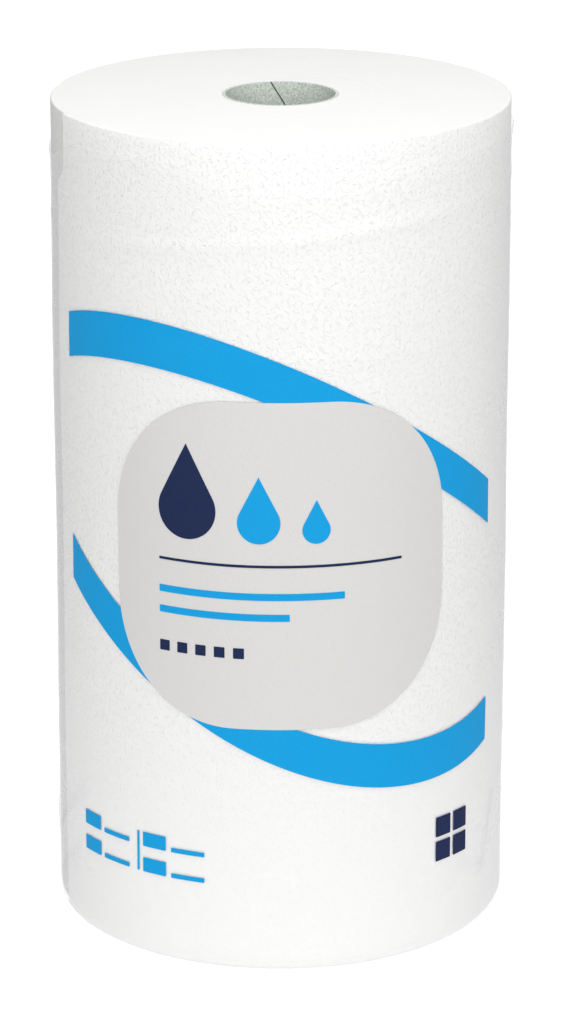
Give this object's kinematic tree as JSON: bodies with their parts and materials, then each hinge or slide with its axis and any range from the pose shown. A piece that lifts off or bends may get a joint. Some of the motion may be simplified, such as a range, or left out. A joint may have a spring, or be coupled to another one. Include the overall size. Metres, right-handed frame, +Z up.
{
  "type": "paper towel roll",
  "caption": "Kitchen paper towel wound on a board tube, standing on end in a clear printed sleeve that is open at the top and leaves the tube's bore free.",
  "frame": {"origin": "on the axis of the core's bore, at its lower end, in the plane that the roll stands on", "axes": "+Z up along the core, -Y towards the printed front, +X to the right as seen from the front"},
  "size_m": [0.1524, 0.153, 0.2794],
  "materials": {
    "tissue_paper": "soft white embossed tissue",
    "core_board": "grey recycled board",
    "clear_film": "clear thin film",
    "grey_ink": "light grey print under gloss",
    "blue_ink": "bright blue print",
    "navy_ink": "navy print"
  },
  "bodies": {
    "root": {"paper_roll": "tissue_paper", "cardboard_core": "core_board", "film_wrapper": "clear_film", "print_grey_panel": "grey_ink", "print_blue_bands": "blue_ink", "print_blue_marks": "blue_ink", "print_navy_marks": "navy_ink"}
  },
  "joints": []
}
